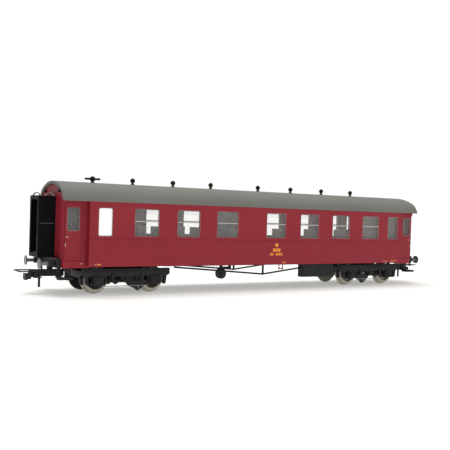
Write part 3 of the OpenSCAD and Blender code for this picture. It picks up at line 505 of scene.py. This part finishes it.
def domes(name, seats, size, material, body="coach", slot="frame_black"):
    return grow(name, DOME, seats, material, body, slot, Size=Vector(size) * MM)


def rims(name, seats, width, height, bar, depth):
    return grow(name, RIM, seats, rim_worn, "coach", "body_red", Width=width * MM, Height=height * MM,
                Corner=RIM_CORNER * MM, Bar=bar * MM, Depth=depth * MM)


def mirrored(points):
    return [(x, side * y, z) for side in (-1, 1) for x, y, z in points]


def all_round(points):
    return [(end * x, y, z) for end in (-1, 1) for x, y, z in mirrored(points)]


print("four trees:", ", ".join(tree.name for tree in (TILE, DOME, RIM, COIL)))

# %% [markdown]
# ## Window rims and rails
# Each window of the real coach sits in a bright metal rim with round corners, and the wide ones
# can be lowered, so a rail crosses them. A rim is a rounded outline with a thin bar swept round
# it. Its tree takes the size of the window, so one tree serves all four kinds.

# %% Rims
RIM_SINK, RIM_MARGIN = 0.1, 0.2
RIM_BAR, RIM_DEPTH = 0.24, 0.22
DOOR_RIM_MARGIN, DOOR_RIM_BAR, DOOR_RIM_DEPTH = 0.1, 0.34, 0.3
RAIL_SIZE, RAIL_SINK, RAIL_UP = (WIDE_W - 0.3, 0.12, 0.4), 0.2, 0.6
RIM_Y = SIDE_Y - RIM_SINK
for kind, places, width in (("wide", WIDE_X, WIDE_W), ("toilet", [TOILET_X], TOILET_W),
                            ("rear", [REAR_X], REAR_W)):
    faces = rims(kind + "_rims", mirrored([(x, RIM_Y, WINDOW_Z) for x in places]),
                 width - RIM_MARGIN, WINDOW_H - RIM_MARGIN, RIM_BAR, RIM_DEPTH)
    print(kind, "rims:", faces, "faces")
rims("door_rims", all_round([(DOOR_X, DOOR_Y + 0.1, DOOR_WINDOW_Z)]), DOOR_W - DOOR_RIM_MARGIN,
     DOOR_WINDOW_H - DOOR_RIM_MARGIN, DOOR_RIM_BAR, DOOR_RIM_DEPTH)
tiles("window_rails", mirrored([(x, SIDE_Y - RAIL_SINK, WINDOW_Z + RAIL_UP) for x in WIDE_X]),
      RAIL_SIZE, rim_silver, slot="body_red")

# %% [markdown]
# ## Doors and printed marks
# The doors get a dark seam on three edges of the leaf, hinges, a pale handle and a pale knob. The
# sides carry a few printed marks. They are plain dots, bars and blocks, with nothing to read.

# %% Door fittings and marks
LEAF_Y = DOOR_Y + 0.15
LEAF_LOW, LEAF_HIGH, LEAF_HALF = 14.5, 37.4, 3.45
SEAM_W, SILL_H = 0.16, 0.2
HINGE_HEIGHTS = (17, 25, 34)
HANDLE_X, HANDLE_Z = 2.4, 23.9
KNOB_X, KNOB_Z = 3.1, 20.7
leaf_mid = (LEAF_LOW + LEAF_HIGH) / 2
tiles("door_seams", all_round([(DOOR_X + k * (LEAF_HALF + 0.08), DOOR_Y + 0.03, leaf_mid) for k in (-1, 1)]),
      (SEAM_W, 0.1, LEAF_HIGH - LEAF_LOW), seam_red, slot="body_red")
tiles("door_sills", all_round([(DOOR_X, DOOR_Y + 0.03, LEAF_LOW - 0.1)]), (2 * LEAF_HALF, 0.12, SILL_H),
      seam_red, slot="body_red")
domes("door_hinges", all_round([(DOOR_X - LEAF_HALF, LEAF_Y, z) for z in HINGE_HEIGHTS]),
      (0.5, 0.45, 1.1), wine_red, slot="body_red")
domes("door_handles", all_round([(DOOR_X + HANDLE_X, LEAF_Y + 0.12, HANDLE_Z)]), (1.5, 0.5, 0.5),
      print_pale, slot="body_red")
domes("door_knobs", all_round([(DOOR_X + KNOB_X, LEAF_Y + 0.12, KNOB_Z)]), (0.6, 0.5, 1.5), print_pale,
      slot="body_red")
MARK_Y, INK = SIDE_Y + 0.015, 0.05
BAR_PLACES, BAR_Z = (3.9, 5.4, 6.9), 18.75
BLOCK_PLACES, BLOCK_Z = (2.1, 3.1, 5.3, 6.3, 7.3, 8.3), 16.75
DOT_X, DOT_Z = 5.4, 21.1
DASH_PLACES = [(-83.9, 12.9), (74.5, 12.9), (76.2, 12.9), (9.3, 13.0)]
LINE_PLACES = [(-82.4, 12.9), (80.2, 13.0), (82.6, 13.0), (10.4, 12.7)]
BAY_DASH_X, BAY_DASH_Z = 3.9, 13.1


def on_sides(places):
    return mirrored([(x, MARK_Y, z) for x, z in places])


tiles("mark_bars", on_sides([(x, BAR_Z) for x in BAR_PLACES]), (1.25, INK, 1.5), print_gold,
      slot="body_red")
tiles("mark_blocks", on_sides([(x, BLOCK_Z) for x in BLOCK_PLACES]), (0.85, INK, 1.15), print_gold,
      slot="body_red")
domes("mark_dots", on_sides([(DOT_X, DOT_Z)]), (2.0, 0.06, 1.9), print_gold, slot="body_red")
tiles("mark_dashes", on_sides(DASH_PLACES), (0.9, INK, 0.45), print_pale, slot="body_red")
tiles("mark_lines", on_sides(LINE_PLACES), (1.5, INK, 0.5), print_gold, slot="body_red")
tiles("bay_dashes", all_round([(DOOR_X - BAY_DASH_X, DOOR_Y + 0.015, BAY_DASH_Z)]), (1.2, INK, 0.35),
      print_pale, slot="body_red")
print("doors and marks on both sides")

# %% [markdown]
# ## Gangways
# The folded rubber of a gangway shows as upright ridges on its sides. A thin grey strip runs
# round the open face as a painted highlight, where the edge of the frame catches the light, and
# the footplate is ribbed for grip. The strap round the middle is a shade paler than the rubber,
# a faint painted highlight on a real strap.

# %% Gangway folds, edges and plates
GANG_Y, GANG_FACE = high("rear_gangway").y, high("gangway_frames").x
GANG_BACK, GANG_LOW, GANG_TOP = low("rear_gangway").x, low("gangway_frames").z, high("gangway_frames").z
gang_mid, gang_h = (GANG_LOW + GANG_TOP) / 2, GANG_TOP - GANG_LOW
FOLDS, FOLD_START, FOLD_PITCH = 8, 0.7, 0.86
STRAP_Z, EDGE_T, EDGE_W = 29, 0.16, 0.2
RIBS, RIB_START, RIB_PITCH, RIB_SIZE = 9, 1.0, 0.7, (0.25, 8.6, 0.16)
folds = [GANG_BACK + FOLD_START + FOLD_PITCH * i for i in range(FOLDS)]
tiles("gangway_folds", all_round([(x, GANG_Y + 0.02, gang_mid) for x in folds]),
      (0.4, 0.22, gang_h - 0.6), rubber_black, slot="gangway_black")
# The strap is a real piece; its paler grey is a faint painted highlight at mid-height.
tiles("gangway_straps", all_round([((GANG_BACK + GANG_FACE) / 2, GANG_Y + 0.1, STRAP_Z)]),
      (GANG_FACE - GANG_BACK - 1, 0.08, 0.3), edge_dull, slot="gangway_grey")
FRAME_Y = high("gangway_frames").y
# The edge and top strips are grey: a painted highlight along the front edge of the frame.
tiles("gangway_edge_highlights", all_round([(GANG_FACE - 0.08, FRAME_Y - 0.1, gang_mid)]), (EDGE_T, EDGE_W, gang_h),
      edge_grey, slot="gangway_grey")
tiles("gangway_top_highlights", [(end * (GANG_FACE - 0.08), 0, GANG_TOP - 0.1) for end in (-1, 1)],
      (EDGE_T, 2 * FRAME_Y, EDGE_W), edge_grey, slot="gangway_grey")
PLATE_TOP = high("gangway_footplates").z
tiles("plate_ribs", [(end * (GANG_FACE - RIB_START - RIB_PITCH * i), 0, PLATE_TOP)
                     for end in (-1, 1) for i in range(RIBS)], RIB_SIZE, plate_grey, slot="gangway_grey")
print("gangways", round(gang_h, 1), "mm high")

# %% [markdown]
# ## Bogie sides
# The sides of a cast bogie carry coil springs beside the axle boxes, a leaf spring under the
# bolster, bolt heads on the boxes, rivets along the top beam and a tie rod low down, in bright
# steel that paints the highlight along the lower edge. The same points serve both bogies, moved
# along by the distance of the pivots.

# %% Springs, bolts and rivets
SIDE_FACE = high("front_bogie_sides").y
# How far each fitting sits behind the face of the bogie side.
BEAM_IN, COIL_IN, CAP_IN, BOLT_IN, HUB_IN = 1.0, 0.55, 1.65, 0.25, 0.06
SPRING_IN, PIN_IN, TIE_IN = 1.0, 0.6, 0.75
RIVET_PROUD = 0.35
BEAM_Y = SIDE_FACE - BEAM_IN + RIVET_PROUD
COIL_OFF, COIL_Z, COIL_TURNS, COIL_R, COIL_H, COIL_WIRE = 2.95, 4.5, 4.0, 0.5, 2.7, 0.14
CAP_Z, CAP_SIZE = 10.48, (39.4, 1.5, 0.66)
RIVETS, RIVET_START, RIVET_PITCH, RIVET_Z = 21, -17, 1.7, 9.72
RIVET_SIZE, BOLT_SIZE, HUB_SIZE = (0.36, 0.3, 0.36), (0.5, 0.4, 0.5), (1.7, 0.5, 1.7)
BOLT_X, BOLT_HEIGHTS = 1.8, (-1.4, 1.2)
SPRING_LEAVES, SPRING_Z, SPRING_RISE = 4, 5.05, 0.34
SPRING_HALF, SPRING_STEP, SPRING_SAG = 2.3, 0.35, 0.3
SPRING_T, SPRING_DEPTH = 0.28, 0.7
PIN_HALF, PIN_Z, PIN_R = 1.1, 6.75, 0.42
TIE_HALF, TIE_Z, TIE_R = 9.7, 3.6, 0.16
DROP_X, DROP_Z, DROP_R = 5, 1.8, 0.2


def leaf_spring(bm, centre, half, sag, thick, depth, steps=10):
    rings = []
    for i in range(steps + 1):
        t = -1 + 2 * i / steps
        x, z = centre[0] + half * t, centre[2] + sag * t * t
        rings.append([bm.verts.new(Vector((x, y, z + up)) * MM) for y, up in (
            (centre[1], 0), (centre[1] + depth, 0), (centre[1] + depth, thick), (centre[1], thick))])
    for one, two in zip(rings, rings[1:]):
        for k in range(4):
            bm.faces.new((one[k], one[(k + 1) % 4], two[(k + 1) % 4], two[k]))
    bm.faces.new(rings[0])
    bm.faces.new(list(reversed(rings[-1])))


def rod(bm, start, end, radius, sides=8):
    start, end = Vector(start) * MM, Vector(end) * MM
    turn = (end - start).to_track_quat("Z", "Y").to_matrix().to_4x4()
    bmesh.ops.create_cone(bm, cap_ends=True, segments=sides, radius1=radius * MM, radius2=radius * MM,
                          depth=(end - start).length, matrix=Matrix.Translation((start + end) / 2) @ turn)


def keep(name, bm, material, body):
    bmesh.ops.recalc_face_normals(bm, faces=bm.faces)
    mesh = bpy.data.meshes.new(name)
    bm.to_mesh(mesh)
    bm.free()
    mesh.materials.append(material)
    made = bpy.data.objects.new(name, mesh)
    bpy.context.scene.collection.objects.link(made)
    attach(made, body)


def dress_bogie(body, centre_x, inboard):
    def seats(points):
        return [(centre_x + x, y, z) for x, y, z in mirrored(points)]

    axles = (-AXLE_X, AXLE_X)
    springs = seats([(end * (AXLE_X + off), SIDE_FACE - COIL_IN, COIL_Z)
                     for end in (-1, 1) for off in (-COIL_OFF, COIL_OFF)])
    grow(body + "_coils", COIL, springs, frame_black, body, "frame_black", Turns=COIL_TURNS,
         Radius=COIL_R * MM, Height=COIL_H * MM, Wire=COIL_WIRE * MM)
    tiles(body + "_caps", seats([(0, SIDE_FACE - CAP_IN, CAP_Z)]), CAP_SIZE, frame_black, body)
    rivets = seats([(RIVET_START + RIVET_PITCH * i, BEAM_Y, RIVET_Z) for i in range(RIVETS)])
    domes(body + "_rivets", rivets, RIVET_SIZE, frame_black, body)
    bolts = seats([(axle + x, SIDE_FACE - BOLT_IN, AXLE_Z + z)
                   for axle in axles for x in (-BOLT_X, BOLT_X) for z in BOLT_HEIGHTS])
    domes(body + "_bolts", bolts, BOLT_SIZE, frame_black, body)
    hubs = seats([(x, SIDE_FACE - HUB_IN, AXLE_Z) for x in axles])
    domes(body + "_hubs", hubs, HUB_SIZE, frame_black, body)
    bm = bmesh.new()
    for side in (-1, 1):
        spring_y = side * (SIDE_FACE - SPRING_IN) - (SPRING_DEPTH if side < 0 else 0)
        for i in range(SPRING_LEAVES):
            leaf_spring(bm, (centre_x, spring_y, SPRING_Z + SPRING_RISE * i),
                        SPRING_HALF - SPRING_STEP * i, SPRING_SAG, SPRING_T, SPRING_DEPTH)
        pin_y = side * (SIDE_FACE - PIN_IN)
        rod(bm, (centre_x - PIN_HALF, pin_y, PIN_Z), (centre_x + PIN_HALF, pin_y, PIN_Z), PIN_R)
    keep(body + "_leaves", bm, frame_black, body)
    bm = bmesh.new()
    for side in (-1, 1):
        y = side * (SIDE_FACE - TIE_IN)
        drop_x = centre_x + inboard * DROP_X
        rod(bm, (centre_x - TIE_HALF, y, TIE_Z), (centre_x + TIE_HALF, y, TIE_Z), TIE_R)
        rod(bm, (drop_x, y, TIE_Z), (drop_x, y, DROP_Z), DROP_R)
    # The tie rods and drop rods are bright steel, a painted highlight along the low edge of the bogie side.
    keep(body + "_tie_rods", bm, rod_highlight_steel, body)


dress_bogie("front_bogie", -PIVOT_X, 1)
dress_bogie("rear_bogie", PIVOT_X, -1)
print("both bogies dressed, faces at", round(SIDE_FACE, 2), "mm")

# %% [markdown]
# ## Battery box and buffer beams
# The battery box has two lids with latches and cooling ribs. The buffer beams carry rivets and
# a thin grey strip on top, a painted highlight along the top edge.

# %% Box lids, latches and rivets
BOX_X0, BOX_X1 = low("battery_box").x, high("battery_box").x
BOX_FACE, BOX_LOW = low("battery_box").y, low("battery_box").z
LID_MARGIN, LID_GAP, LID_UP, LID_H = 0.7, 0.2, 2.7, 4.2
BOX_RIBS, BOX_RIB_START, BOX_RIB_PITCH, BOX_RIB_UP = 10, 1.6, 1.8, 2.3
LATCH_SHARES, LATCH_UP = (-1.4, -0.6, 0.6, 1.4), 4.3
box_mid = (BOX_X0 + BOX_X1) / 2
lid_w = (BOX_X1 - BOX_X0) / 2 - LID_MARGIN
tiles("box_lids", [(box_mid + side * (lid_w / 2 + LID_GAP), BOX_FACE, BOX_LOW + LID_UP)
                   for side in (-1, 1)], (lid_w, 0.3, LID_H), frame_black)
tiles("box_ribs", [(BOX_X0 + BOX_RIB_START + BOX_RIB_PITCH * i, BOX_FACE - 0.15, BOX_LOW + BOX_RIB_UP)
                   for i in range(BOX_RIBS)], (0.3, 0.2, 2.6), frame_black)
domes("box_latches", [(box_mid + k * lid_w / 2 + 0.2 * k, BOX_FACE - 0.2, BOX_LOW + LATCH_UP)
                      for k in LATCH_SHARES], (0.8, 0.35, 0.5), frame_black)
BEAM_BEHIND, BEAM_TOP, BEAM_W = 2.6, 15.1, 25.3
BEAM_RIVET_Y, BEAM_RIVET_Z = (2.2, 4.4, 6.6, 12.1), (12.2, 14.5)
BEAM_X = high("buffer_housings").x - BEAM_BEHIND
# A thin grey strip on each buffer beam paints the highlight along its top edge.
tiles("beam_top_highlights", [(end * (BEAM_X - 0.15), 0, BEAM_TOP + 0.03) for end in (-1, 1)],
      (0.35, BEAM_W, 0.1), edge_grey, slot="gangway_grey")
domes("beam_rivets", all_round([(BEAM_X, y, z) for y in BEAM_RIVET_Y for z in BEAM_RIVET_Z]),
      (0.3, 0.4, 0.4), frame_black)
print("battery box", round(BOX_X1 - BOX_X0, 1), "mm long")
